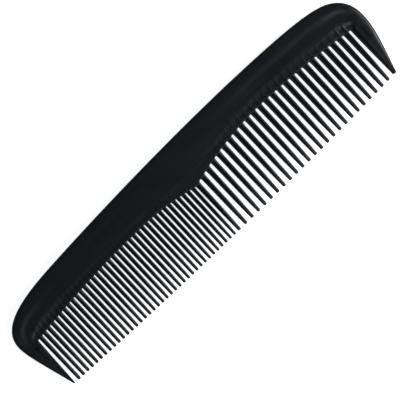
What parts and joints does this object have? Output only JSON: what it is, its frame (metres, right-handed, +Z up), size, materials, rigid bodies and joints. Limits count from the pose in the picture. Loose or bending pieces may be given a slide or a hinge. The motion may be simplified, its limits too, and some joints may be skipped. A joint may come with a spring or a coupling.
{
  "type": "pocket comb",
  "caption": "One-piece moulded pocket comb with a thick rounded back, a fine-toothed half, a wide-toothed half and solid end guards.",
  "frame": {"origin": "under the middle of the comb's box, on the surface the comb lies on", "axes": "+X along the comb from its fine end to its wide end, +Y towards its back with the teeth pointing to -Y, +Z up through its thickness"},
  "size_m": [0.127, 0.03, 0.004],
  "materials": {
    "black_plastic": "satin, lightly handled"
  },
  "bodies": {
    "root": {"spine": "black_plastic", "fine_end_guard": "black_plastic", "fine_teeth_outer": "black_plastic", "fine_teeth_middle": "black_plastic", "fine_teeth_inner": "black_plastic", "wide_teeth_inner": "black_plastic", "wide_teeth_outer": "black_plastic", "wide_end_guard": "black_plastic"}
  },
  "joints": []
}
